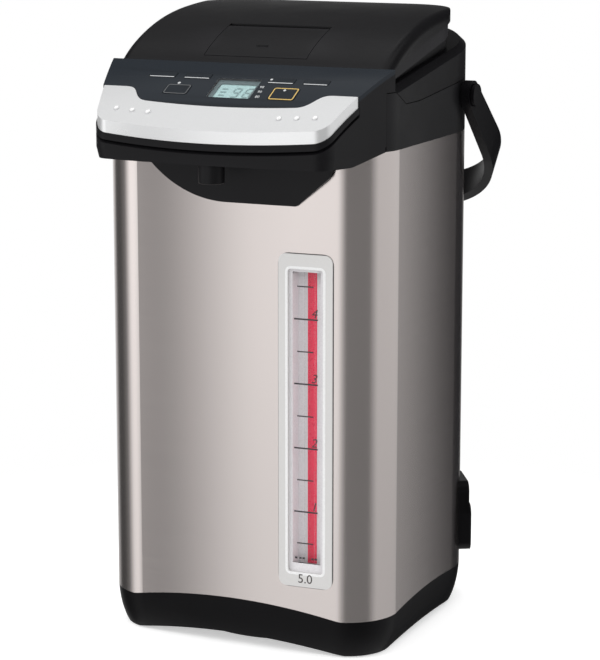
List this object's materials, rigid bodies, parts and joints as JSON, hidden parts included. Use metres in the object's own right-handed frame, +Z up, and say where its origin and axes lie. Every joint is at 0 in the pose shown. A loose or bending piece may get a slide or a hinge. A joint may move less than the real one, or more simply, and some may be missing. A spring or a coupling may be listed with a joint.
{
  "type": "electric thermo pot",
  "caption": "Electric hot water dispenser with steel-wrapped body, lever lid, front pump spout, sight gauge, bail handle and swivel base",
  "frame": {"origin": "on the swivel axis, at the underside of the foot pad, on the table", "axes": "+X to the user's right as the user faces the pot, -Y towards the user (the spout side), +Z up"},
  "size_m": [0.2182, 0.283, 0.4096],
  "materials": {
    "wrap_steel": "vertical hairline",
    "vessel_steel": "drawn",
    "black_plastic": "fine satin",
    "base_plastic": "satin",
    "inner_plastic": "plain",
    "panel_gloss": "gloss",
    "bar_silver": "satin silver paint on plastic",
    "lcd": "liquid crystal",
    "clear": "clear",
    "gauge_white": "light grey",
    "stripe_red": "red",
    "rubber": "plain",
    "silicone": "translucent grey",
    "board_green": "circuit board",
    "bright_steel": "bright",
    "heater_alloy": "cast",
    "white_plastic": "plain"
  },
  "bodies": {
    "pot": {"base_housing": "base_plastic", "bottom_plate": "base_plastic", "bottom_screws": "bright_steel", "outer_wrap": "wrap_steel", "inner_pot": "vessel_steel", "vacuum_shell": "vessel_steel", "neck_seal": "silicone", "heater_plate": "heater_alloy", "temperature_sensor": "bright_steel", "thermal_cutout": "bright_steel", "motor_case": "bright_steel", "pump_housing": "white_plastic", "pump_inlet_hose": "silicone", "outlet_hose": "silicone", "main_board": "board_green", "inlet_pins": "bright_steel", "power_inlet": "black_plastic", "shoulder_ring": "black_plastic", "bail_pivots": "black_plastic", "upper_frame": "black_plastic", "hinge_pins": "bright_steel", "beak_housing": "black_plastic", "control_panel": "panel_gloss", "lcd_window": "clear", "lcd_module": "lcd", "control_board": "board_green", "dispense_switch": "inner_plastic", "spout_nozzle": "black_plastic", "spout_pipe": "silicone", "chin_cowl": "black_plastic", "gauge_frame": "gauge_white", "gauge_window": "clear", "gauge_backing": "gauge_white", "gauge_stripe": "stripe_red", "gauge_tube": "clear", "tip_valve": "white_plastic"},
    "swivel": {"swivel_disc": "base_plastic", "swivel_pad": "rubber", "swivel_clip": "bright_steel"},
    "lid": {"lid_liner": "inner_plastic", "lid_cover": "black_plastic", "lid_screws": "bright_steel", "lid_gasket": "silicone", "steam_plate": "vessel_steel", "lever_pin": "bright_steel"},
    "lever": {"lid_lever": "black_plastic"},
    "latch": {"lid_latch": "bright_steel"},
    "bail": {"bail_handle": "black_plastic"},
    "bar": {"dispense_bar": "bar_silver", "bar_carrier": "black_plastic"},
    "rotor": {"motor_rotor": "bright_steel"},
    "impeller": {"impeller": "white_plastic"},
    "unlock_key": {"unlock_key": "black_plastic"},
    "reboil_key": {"reboil_key": "black_plastic"},
    "timer_key": {"timer_key": "black_plastic"},
    "keep_warm_key": {"keep_warm_key": "black_plastic"},
    "temperature_key": {"temperature_key": "black_plastic"},
    "brew_key": {"brew_key": "black_plastic"}
  },
  "joints": [
    {"name": "swivel_spin", "type": "hinge", "parent": "pot", "child": "swivel", "pos_m": [0, 0, 0], "axis": [0, 0, 1], "continuous": true},
    {"name": "lid_hinge", "type": "hinge", "parent": "pot", "child": "lid", "pos_m": [0, 0.078, 0.391], "axis": [-1, 0, 0], "range_deg": [0, 90]},
    {"name": "lever_hinge", "type": "hinge", "parent": "lid", "child": "lever", "pos_m": [0, -0.0275, 0.3926], "axis": [-1, 0, 0], "range_deg": [0, 35]},
    {"name": "latch_slide", "type": "slide", "parent": "lid", "child": "latch", "axis": [0, 0.9779, 0.2089], "range_m": [0, 0.004], "stiffness_N_per_m": 1500},
    {"name": "bail_swing", "type": "hinge", "parent": "pot", "child": "bail", "pos_m": [0, 0.051, 0.352], "axis": [1, 0, 0], "range_deg": [0, 170]},
    {"name": "dispense_press", "type": "slide", "parent": "pot", "child": "bar", "axis": [0, 0, -1], "range_m": [0, 0.0012], "stiffness_N_per_m": 2500},
    {"name": "motor_spin", "type": "hinge", "parent": "pot", "child": "rotor", "pos_m": [0, -0.052, 0.02], "axis": [0, 0, 1], "continuous": true},
    {"name": "impeller_spin", "type": "hinge", "parent": "pot", "child": "impeller", "pos_m": [0, -0.052, 0.036], "axis": [0, 0, 1], "continuous": true},
    {"name": "unlock_press", "type": "slide", "parent": "pot", "child": "unlock_key", "axis": [0, 0.4714, -0.8819], "range_m": [0, 0.0006], "stiffness_N_per_m": 900},
    {"name": "reboil_press", "type": "slide", "parent": "pot", "child": "reboil_key", "axis": [0, 0.4714, -0.8819], "range_m": [0, 0.0006], "stiffness_N_per_m": 900},
    {"name": "timer_press", "type": "slide", "parent": "pot", "child": "timer_key", "axis": [0, 0.4113, -0.9115], "range_m": [0, 0.0006], "stiffness_N_per_m": 900},
    {"name": "keep_warm_press", "type": "slide", "parent": "pot", "child": "keep_warm_key", "axis": [0, 0.4113, -0.9115], "range_m": [0, 0.0006], "stiffness_N_per_m": 900},
    {"name": "temperature_press", "type": "slide", "parent": "pot", "child": "temperature_key", "axis": [0, 0.4178, -0.9085], "range_m": [0, 0.0006], "stiffness_N_per_m": 900},
    {"name": "brew_press", "type": "slide", "parent": "pot", "child": "brew_key", "axis": [0, 0.4178, -0.9085], "range_m": [0, 0.0006], "stiffness_N_per_m": 900}
  ],
  "couplings": [
    {"joint": "impeller_spin", "follows": "motor_spin", "ratio": 1},
    {"joint": "lever_hinge", "follows": "latch_slide", "rad_per_m": 152.6}
  ]
}
